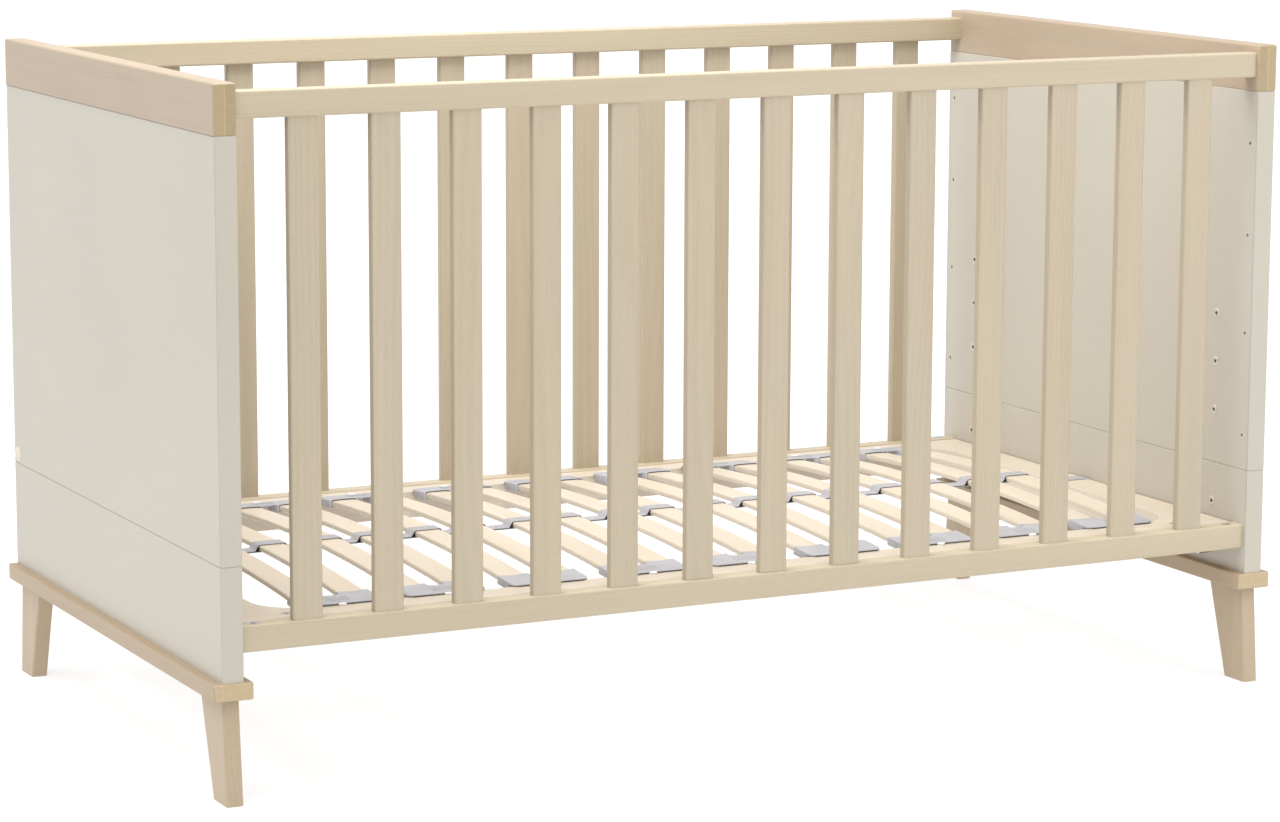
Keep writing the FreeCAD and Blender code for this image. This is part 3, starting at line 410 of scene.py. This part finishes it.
def webbing(name, colour, inside):
    """Plain-woven strap: warp yarns along the strap over and under weft yarns across it.

    inside is the Z of the normals on the side that faces the slats, which gets painted shade.
    """
    recipe = Recipe(name, IOR=1.45, Sheen_Weight=0.25, Sheen_Roughness=0.5)
    parts = recipe.add("ShaderNodeSeparateXYZ", {0: recipe.point}).outputs
    turn = math.pi / YARN_PITCH
    warp = recipe.maths("SINE", recipe.maths("MULTIPLY", parts["Y"], turn))
    weft = recipe.maths("SINE", recipe.maths("MULTIPLY", parts["X"], turn))
    over = recipe.maths("MULTIPLY", warp, weft)
    yarns = recipe.level(recipe.maths("ABSOLUTE", over), 0.0, 1.0)
    fuzz = recipe.noise(recipe.scaled((900.0, 2400.0, 900.0)), detail=2.0)
    wear = recipe.noise(recipe.scaled((30.0, 30.0, 30.0)), detail=2.0)
    tone = recipe.maths("MULTIPLY_ADD", yarns, 0.45, recipe.maths("MULTIPLY", fuzz, 0.35))
    tone = recipe.maths("MULTIPLY_ADD", wear, 0.30, tone)
    surface = recipe.ramp(tone, ((0.25, shade(colour, 0.74)), (0.85, shade(colour, 1.10))))
    normal = recipe.add("ShaderNodeNewGeometry").outputs["Normal"]
    upward = recipe.add("ShaderNodeSeparateXYZ", {0: normal}).outputs["Z"]
    # Painted shade on the side of each ply that faces the slats, within the sewn ends.
    inner_painted_shade = recipe.maths("MULTIPLY", recipe.level(recipe.maths("MULTIPLY", upward, inside),
                                                   0.3, 0.6),
                          recipe.level(recipe.maths("ABSOLUTE", parts["X"]), SEWN_END,
                                       SEWN_END - 2.0 * MM))
    surface = recipe.mix(inner_painted_shade, surface, shade(colour, 0.12))
    return recipe.finish(surface, recipe.level(fuzz, 0.3, 0.7, 0.75, 0.9), yarns, 0.25 * MM)


# Places and sizes that the materials follow: the line where a panel's banding starts, the
# slats' bend and plies, and the belt.
BANDING = 0.3825
SLAT_BEND = 3.85
SLAT_THICK = 7.0 * MM
BELT_HALF_WIDTH = 11.0 * MM
SEWN_END = 0.606
PLY_PITCH = 1.4 * MM

RAIL_TONE = linear(186, 173, 148)
BAR_TONE = linear(182, 169, 146)
CAP_TONE = linear(171, 153, 131)
PLINTH_TONE = linear(167, 147, 120)
LEG_TONE = linear(178, 160, 134)
SLAT_TONE = linear(205, 193, 175)
CREAM = linear(186, 180, 167)

MATERIALS = {
    "rail": wood("rail_wood", "X", RAIL_TONE, linear(186, 168, 134), heart=(0, 0.3, -0.35)),
    # The bars' narrow sides get painted shade through side.
    "bar": wood("bar_wood", "Z", BAR_TONE, linear(186, 168, 134), heart=(0.2, 1.2, 0),
                side=0.88),
    "cap": wood("cap_wood", "Y", CAP_TONE, linear(162, 143, 109), heart=(0.3, 0, -0.8),
                glued=0.716),
    "plinth": wood("plinth_wood", "Y", PLINTH_TONE, linear(184, 164, 130), heart=(0.2, 0, -0.1)),
    "leg": wood("leg_wood", "Z", LEG_TONE, linear(186, 165, 137), heart=(0.4, 0.1, 0)),
    "base_rail": wood("base_rail_wood", "X", SLAT_TONE, linear(215, 195, 160),
                      heart=(0, 0.2, -0.4)),
    "base_board": wood("base_board_wood", "Y", SLAT_TONE, linear(215, 195, 160),
                       heart=(0.3, 0, -0.3)),
    "slat": wood("slat_wood", "Y", SLAT_TONE, linear(205, 180, 145), heart=(0.1, 0, -0.5),
                 layers=True),
    "dowel": wood("dowel_wood", "X", linear(215, 190, 150), linear(200, 170, 130)),
    "cream": painted_board("cream_paint", CREAM),
    "rubber": moulded("holder_rubber_grey", linear(170, 169, 173)),
    # Painted shade: dark rubber for the faces that the cuts leave in the holders' sockets, mouths
    # and grooves.
    "rubber_painted_shade": moulded("holder_rubber_painted_shade", linear(92, 86, 84)),
    "peg": moulded("peg_plastic", linear(240, 240, 238), grain=500.0, low=0.3, high=0.4),
    "plug": moulded("plug_plastic_cream", linear(214, 205, 190), grain=700.0),
    "zinc": plated("zinc_plate", (0.80, 0.80, 0.82, 1.0)),
    "steel": plated("bolt_plate", (0.72, 0.72, 0.74, 1.0)),
    "insert": plated("insert_plate", (0.76, 0.73, 0.67, 1.0), low=0.40, high=0.6),
    # The two plies differ only in which side gets painted shade.
    "lower_belt": webbing("lower_belt_weave", linear(174, 172, 176), inside=1.0),
    "upper_belt": webbing("upper_belt_weave", linear(174, 172, 176), inside=-1.0),
    "thread": moulded("stitch_thread", linear(190, 188, 192), grain=2500.0, low=0.7, high=0.85),
}

# The material of each CAD node, by how its name starts or ends, first match first.
NODE_MATERIALS = (
    ("base_cam_locks", "zinc"), ("base_cam_bolts", "steel"),
    ("base_front_rail", "base_rail"), ("base_rear_rail", "base_rail"),
    ("base_", "base_board"), ("slat_pair", "slat"), ("holder_pegs", "peg"),
    ("cam_locks", "zinc"), ("cam_bolts", "steel"), ("leg_bolts", "steel"),
    ("support_pins", "steel"), ("height_inserts", "insert"), ("hole_plugs", "plug"),
    ("wooden_dowels", "dowel"), ("front_slat_holders", "rubber"),
    ("rear_slat_holders", "rubber"), ("centre_belt", "upper_belt"),
    ("_spring", "steel"), ("_rail", "rail"), ("_cap", "cap"), ("_plinth", "plinth"),
    ("_leg", "leg"), ("_board", "cream"), ("bar", "bar"),
)


def paint_nodes():
    """Gives every CAD node its material."""
    for name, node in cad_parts.items():
        key = next(key for part, key in NODE_MATERIALS if part in name)
        for material_slot in node.material_slots:
            material_slot.material = MATERIALS[key]


# ---------------------------------------------------------------- mesh helpers

CORNER_STEPS = 6


def piece(name, mesh, body, slot, *materials, replaced=(), smooth=40.0):
    """Adds a finished mesh, given in the row frame, as a piece on a body.

    A second material is for the faces that solid() left where it cut something away; the holders
    give these a painted shade.
    """
    for polygon in mesh.polygons:
        polygon.use_smooth = True
    mesh.set_sharp_from_angle(angle=math.radians(smooth))
    for number, material in enumerate(materials):
        if number < len(mesh.materials):
            mesh.materials[number] = MATERIALS[material]
        else:
            mesh.materials.append(MATERIALS[material])
    made = bpy.data.objects.new(name, mesh)
    bpy.context.scene.collection.objects.link(made)
    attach(made, body)
    if replaced:
        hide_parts(*replaced)
    return made


def mesh_from(bm, name):
    """The finished mesh of a bmesh, which is freed."""
    mesh = bpy.data.meshes.new(name)
    bmesh.ops.recalc_face_normals(bm, faces=bm.faces)
    bm.to_mesh(mesh)
    bm.free()
    return mesh


def rounded_outline(corners):
    """The points of a closed outline from (x, y, radius) corners, with each corner rounded."""
    points = []
    count = len(corners)
    for number, (x, y, radius) in enumerate(corners):
        here = Vector((x, y))
        before = (Vector(corners[number - 1][:2]) - here).normalized()
        after = (Vector(corners[(number + 1) % count][:2]) - here).normalized()
        half = before.angle(after) / 2
        reach = radius / math.tan(half)
        middle = here + (before + after).normalized() * (radius / math.sin(half))
        start, end = here + before * reach - middle, here + after * reach - middle
        for step in range(CORNER_STEPS + 1):
            points.append(middle + start.slerp(end, step / CORNER_STEPS) * radius)
    return points


def slab(points, low, high, edge=0.0):
    """A flat piece with the given outline between two heights, its top and bottom rounded."""
    bm = bmesh.new()
    bottom = bm.faces.new([bm.verts.new((x, y, low)) for x, y in points])
    lifted = bmesh.ops.extrude_face_region(bm, geom=[bottom])["geom"]
    top = [item for item in lifted if isinstance(item, bmesh.types.BMVert)]
    bmesh.ops.translate(bm, verts=top, vec=(0, 0, high - low))
    if edge:
        rims = [e for e in bm.edges if abs(e.verts[0].co.z - e.verts[1].co.z) < 1e-7]
        bmesh.ops.bevel(bm, geom=rims, offset=edge, segments=3, profile=0.5,
                        affect="EDGES", clamp_overlap=True)
    return bm


def block(low, high, edge=0.0):
    """A box between two corners, with rounded edges."""
    bm = bmesh.new()
    bmesh.ops.create_cube(bm, size=1.0)
    low, high = Vector(low), Vector(high)
    for vert in bm.verts:
        vert.co = Vector((low[k] + (vert.co[k] + 0.5) * (high[k] - low[k]) for k in range(3)))
    if edge:
        bmesh.ops.bevel(bm, geom=bm.edges[:], offset=edge, segments=2, profile=0.5,
                        affect="EDGES", clamp_overlap=True)
    return bm


def disc(x, y, radius, low, high, sides=32):
    """An upright round disc between two heights."""
    turns = [2 * math.pi * side / sides for side in range(sides)]
    return slab([(x + radius * math.cos(turn), y + radius * math.sin(turn)) for turn in turns],
                low, high)


def spread(count, pitch):
    """Places at a pitch, with their middle at 0."""
    return [(number - (count - 1) / 2) * pitch for number in range(count)]


def combine(parts, name):
    """One mesh from several bmeshes that don't touch each other."""
    whole = bmesh.new()
    for part in parts:
        mesh = mesh_from(part, name)
        whole.from_mesh(mesh)
        bpy.data.meshes.remove(mesh)
    return mesh_from(whole, name)


def solid(mesh, added, removed):
    """The mesh with other meshes united with it, then others cut from it.

    The faces that the cuts leave get the second material slot.
    """
    for item in (mesh, *added, *removed):
        item.materials.append(None)
        item.materials.append(None)
    for item in removed:
        for polygon in item.polygons:
            polygon.material_index = 1
    target = bpy.data.objects.new("solid", mesh)
    tools = []
    for operation, meshes in (("UNION", added), ("DIFFERENCE", removed)):
        for tool_mesh in meshes:
            tool = bpy.data.objects.new("tool", tool_mesh)
            tools.append(tool)
            modifier = target.modifiers.new("solid", "BOOLEAN")
            modifier.operation = operation
            modifier.solver = "EXACT"
            modifier.object = tool
    for item in [target] + tools:
        bpy.context.scene.collection.objects.link(item)
    depsgraph = bpy.context.evaluated_depsgraph_get()
    result = bpy.data.meshes.new_from_object(target.evaluated_get(depsgraph))
    for item in [target] + tools:
        bpy.data.objects.remove(item)
    return result


def swept(path, outline):
    """A tube: the outline is carried along a path in the XZ plane.

    The outline's first value goes across, along Y, and its second is square to the path.
    """
    bm = bmesh.new()
    rows = []
    for number, point in enumerate(path):
        before = path[max(number - 1, 0)]
        after = path[min(number + 1, len(path) - 1)]
        ahead = (Vector(after) - Vector(before)).normalized()
        square = Vector((-ahead.y, ahead.x))
        rows.append([
            bm.verts.new((point[0] + square.x * up, across, point[1] + square.y * up))
            for across, up in outline
        ])
    count = len(outline)
    for low, high in zip(rows, rows[1:]):
        for side in range(count):
            other = (side + 1) % count
            bm.faces.new((low[side], low[other], high[other], high[side]))
    bm.faces.new(rows[0])
    bm.faces.new(rows[-1])
    return bm


# ---------------------------------------------------------------- slat holders

SLAT_HALF_WIDTH = 17.5 * MM
SLAT_OFFSET = 31.0 * MM
SLAT_PAIRS = 9

# Sizes of a holder about the middle of the slats' ends. Its outer side, towards the gate, is -Y.
HOLDER_HALF_WIDTH = 52.0 * MM
HOLDER_HALF_DEPTH = 23.0 * MM
HOLDER_TOP = 5.0 * MM
HOLDER_BOTTOM = -5.5 * MM
HOLDER_CORNER = 10.0 * MM
PLATE_BOTTOM = 2.35 * MM
PLATE_END = 12.0 * MM
SLEEVE_INNER = 10.5 * MM
SLEEVE_END = -11.4 * MM
SOCKET_END = -9.8 * MM
SOCKET_HALF_WIDTH = 17.8 * MM
SOCKET_HALF_HEIGHT = 3.8 * MM
MOUTH_RADIUS = 41.6 * MM
MOUTH_DEPTH = 4.0 * MM
GROOVE_TOP = 3.9 * MM
GROOVE_DEPTH = 3.0 * MM
GROOVE_PITCH = 5.0 * MM
GROOVE_HALF_WIDTH = 2.0 * MM
GROOVES = 20
RIB_PITCH = 3.4 * MM
RIB_HALF_WIDTH = 0.7 * MM
RIB_START = -13.0 * MM
RIB_END = 3.0 * MM
RIB_RISE = 0.6 * MM
RIBS = 9
PEG_PLACE = -25.5 * MM
PEG_NOTCH = 5.4 * MM


def holder_mesh():
    """A twin holder of soft rubber: two sleeves, and a plate with ribs and a grooved edge."""
    wide, deep = HOLDER_HALF_WIDTH, HOLDER_HALF_DEPTH
    small, inner = 1.5 * MM, 4.0 * MM
    half = [(wide, -deep, HOLDER_CORNER), (wide, deep, small), (SLEEVE_INNER, deep, small),
            (SLEEVE_INNER, PLATE_END, inner)]
    mirrored = [(-x, y, radius) for x, y, radius in reversed(half)]
    plate = slab(rounded_outline(half + mirrored), PLATE_BOTTOM, HOLDER_TOP, edge=1.0 * MM)

    sleeves, sockets, mouths = [], [], []
    for end in (-1, 1):
        outer, near = sorted((end * wide, end * SLEEVE_INNER))
        middle = end * SLAT_OFFSET
        sleeves.append(block((outer, SLEEVE_END, HOLDER_BOTTOM),
                             (near, deep, HOLDER_TOP - 0.8 * MM), 0.9 * MM))
        sockets.append(block((middle - SOCKET_HALF_WIDTH, SOCKET_END, -SOCKET_HALF_HEIGHT),
                             (middle + SOCKET_HALF_WIDTH, deep + 1.0 * MM, SOCKET_HALF_HEIGHT)))
        mouths.append(disc(middle, deep + MOUTH_RADIUS - MOUTH_DEPTH, MOUTH_RADIUS, 0.0,
                           HOLDER_TOP + 1.0 * MM, sides=96))
    ribs = [block((x - RIB_HALF_WIDTH, RIB_START, HOLDER_TOP - 1.0 * MM),
                  (x + RIB_HALF_WIDTH, RIB_END, HOLDER_TOP + RIB_RISE), 0.4 * MM)
            for x in spread(RIBS, RIB_PITCH)]
    grooves = [block((x - GROOVE_HALF_WIDTH, -deep - 1.0 * MM, PLATE_BOTTOM - 1.0 * MM),
                     (x + GROOVE_HALF_WIDTH, -deep + GROOVE_DEPTH, GROOVE_TOP))
               for x in spread(GROOVES, GROOVE_PITCH)
               if PEG_NOTCH < abs(x) < wide - HOLDER_CORNER + 4.0 * MM]
    notch = disc(0, PEG_PLACE, PEG_NOTCH, 0.0, HOLDER_TOP + 1.0 * MM)
    added = [combine(sleeves, "sleeves"), combine(ribs, "ribs")]
    removed = [combine(sockets, "sockets"), combine(mouths, "mouths"),
               combine(grooves, "grooves"), mesh_from(notch, "notch")]
    return solid(mesh_from(plate, "holder"), added, removed)


def make_holders():
    """Puts the twin holders on the ends of each pair of slats, tilted with the slats' bend."""
    shape = holder_mesh()
    for side, name in ((-1, "front"), (1, "rear")):
        node = name + "_slat_holders"
        low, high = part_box(node)
        outer = max(abs(low.y), abs(high.y))
        slope = math.asin((outer - HOLDER_HALF_DEPTH) / SLAT_BEND)
        place_y = outer - HOLDER_HALF_DEPTH * math.cos(slope)
        for pair in range(1, SLAT_PAIRS + 1):
            low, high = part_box(f"slat_pair_{pair}")
            crown = high.z - SLAT_THICK / 2
            mesh = shape.copy()
            mesh.transform(Matrix.Rotation(slope, 4, "X"))
            if side > 0:
                mesh.transform(Matrix.Scale(-1, 4, (0, 1, 0)))
                mesh.flip_normals()
            mesh.transform(Matrix.Translation(((low.x + high.x) / 2, side * place_y,
                                               crown - SLAT_BEND * (1 - math.cos(slope)))))
            # The faces cut into the holder get the dark rubber, a painted shade.
            piece(f"{name}_holder_{pair}", mesh, "base", "holder_rubber", "rubber",
                  "rubber_painted_shade", replaced=[node])
    bpy.data.meshes.remove(shape)


# ---------------------------------------------------------------- centre belt

BELT_PLY = 1.4 * MM
BELT_SLOPE = 7.0 * MM
BELT_FALL = 40.0 * MM
STITCHES = 5
STITCH_PITCH = 4.0 * MM
STITCH_LENGTH = 2.6 * MM
STITCH_ROW = 2.0 * MM
THREAD = 0.32 * MM


def ribbon_outline():
    """The cross-section of the strap: flat, with rounded and slightly thicker selvedges."""
    half, thick = BELT_HALF_WIDTH, BELT_PLY / 2
    right = [(half - 2.0 * MM, -thick), (half - 0.8 * MM, -thick * 1.1), (half, -thick * 0.5),
             (half, thick * 0.5), (half - 0.8 * MM, thick * 1.1), (half - 2.0 * MM, thick)]
    return right + [(-x, -z) for x, z in right]


def smooth_step(value):
    """Goes from 0 to 1 with the value, level at both ends."""
    value = min(max(value, 0.0), 1.0)
    return value * value * (3 - 2 * value)


def make_belt():
    """Two plies of webbing, sewn together between the slats and open round each slat."""
    low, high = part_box("centre_belt")
    slats = sorted(middle + end * SLAT_OFFSET for middle in pair_middles() for end in (-1, 1))
    top = high.z - BELT_PLY / 2
    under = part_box("slat_pair_5")[1].z - SLAT_THICK - 0.35 * MM - BELT_PLY / 2
    joined = under + BELT_PLY
    end = high.x
    base_top = low.z + BELT_PLY / 2
    leave = slats[-1] + SLAT_HALF_WIDTH + BELT_SLOPE
    land = leave + BELT_FALL

    def tail_height(x, height):
        """The height of the strap where it runs down from the last slat to the end board."""
        return height + (base_top - height) * smooth_step((abs(x) - leave) / (land - leave))

    def upper_height(x):
        offset = min(abs(x - slat) for slat in slats)
        rise = 1 - smooth_step((offset - SLAT_HALF_WIDTH + 0.5 * MM) / BELT_SLOPE)
        return joined + (top - joined) * rise

    count = int(round(2 * end / MM))
    places = [-end + 2 * end * number / count for number in range(count + 1)]
    lower = [(x, tail_height(x, under)) for x in places]
    upper = [(x, tail_height(x, upper_height(x))) for x in places if abs(x) <= leave]
    for ply, path in (("lower", lower), ("upper", upper)):
        name = f"belt_{ply}_ply"
        piece(name, mesh_from(swept(path, ribbon_outline()), name), "base", "belt_webbing",
              f"{ply}_belt", replaced=["centre_belt"])
    make_stitches(slats, joined + BELT_PLY / 2)


def pair_middles():
    """The middle of each pair of slats along the crib."""
    boxes = [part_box(f"slat_pair_{pair}") for pair in range(1, SLAT_PAIRS + 1)]
    return [(low.x + high.x) / 2 for low, high in boxes]


def make_stitches(slats, height):
    """Two rows of lockstitch across the strap in each gap between slats."""
    stitches = []
    half = STITCH_LENGTH / 2
    for left, right in zip(slats, slats[1:]):
        for row in (-STITCH_ROW, STITCH_ROW):
            x = (left + right) / 2 + row
            for y in spread(STITCHES, STITCH_PITCH):
                stitches.append(block((x - THREAD, y - half, height - THREAD),
                                      (x + THREAD, y + half, height + THREAD), THREAD * 0.8))
    piece("belt_stitches", combine(stitches, "belt_stitches"), "base", "belt_webbing",
          "thread")


# ---------------------------------------------------------------- rims of the inserts

PANEL_INNER = 702.0 * MM
INSERT_Y = 305.0 * MM
# The lowest inserts have the pins in them, which cover their mouths.
OPEN_INSERT_LEVELS = (231.5, 354.5, 419.5, 483.5)
# How far a rim's outline is from the insert's middle line, and how far it stands out.
RIM_OUTLINE = ((2.5, -0.3), (2.5, 0.4), (2.9, 0.6), (6.0, 0.6), (6.5, 0.2), (6.5, -0.3))
RIM_SIDES = 40


def make_insert_rims():
    """The pressed rim round the mouth of every insert that no pin covers."""
    bm = bmesh.new()
    places = itertools.product((-1, 1), (-INSERT_Y, INSERT_Y), OPEN_INSERT_LEVELS)
    for end, y, height in places:
        rings = []
        for number in range(RIM_SIDES):
            turn = 2 * math.pi * number / RIM_SIDES
            rings.append([
                bm.verts.new((end * (PANEL_INNER - out * MM), y + radius * MM * math.cos(turn),
                              height * MM + radius * MM * math.sin(turn)))
                for radius, out in RIM_OUTLINE
            ])
        for ring, following in zip(rings, rings[1:] + rings[:1]):
            for step in range(len(RIM_OUTLINE)):
                other = (step + 1) % len(RIM_OUTLINE)
                bm.faces.new((ring[step], ring[other], following[other], following[step]))
    piece("insert_rims", mesh_from(bm, "insert_rims"), "frame", "insert_metal", "insert")


# ---------------------------------------------------------------- springs

SPRING_TURNS = 6
SPRING_WIRE = 0.4 * MM
WIRE_SIDES = 8
TURN_STEPS = 28


def make_spring(bar):
    """A coil spring over a slip bar's end, made to the size of its CAD node."""
    node = bar + "_spring"
    low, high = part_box(node)
    middle = (low + high) / 2
    radius = (high.x - low.x) / 2 - SPRING_WIRE
    bottom, top = low.z + SPRING_WIRE, high.z - SPRING_WIRE
    bm = bmesh.new()
    steps = TURN_STEPS * SPRING_TURNS
    rings = []
    for step in range(steps + 1):
        turn = 2 * math.pi * SPRING_TURNS * step / steps
        out = Vector((math.cos(turn), math.sin(turn), 0))
        centre = Vector((middle.x, middle.y, bottom + (top - bottom) * step / steps))
        centre += out * radius
        rings.append([
            bm.verts.new(centre + SPRING_WIRE * (out * math.cos(angle)
                                                 + Vector((0, 0, math.sin(angle)))))
            for angle in (2 * math.pi * side / WIRE_SIDES for side in range(WIRE_SIDES))
        ])
    for first, second in zip(rings, rings[1:]):
        for side in range(WIRE_SIDES):
            other = (side + 1) % WIRE_SIDES
            bm.faces.new((first[side], first[other], second[other], second[side]))
    bm.faces.new(rings[0])
    bm.faces.new(rings[-1])
    made = piece(node + "_coil", mesh_from(bm, node), "frame", "spring_steel", "steel",
                 replaced=[node])
    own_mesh(made)


# ---------------------------------------------------------------- the whole scene

make_camera()
make_floor()
make_light()
paint_nodes()
make_holders()
make_belt()
make_insert_rims()
for bar in ("slip_bar_left", "slip_bar_middle", "slip_bar_right"):
    make_spring(bar)
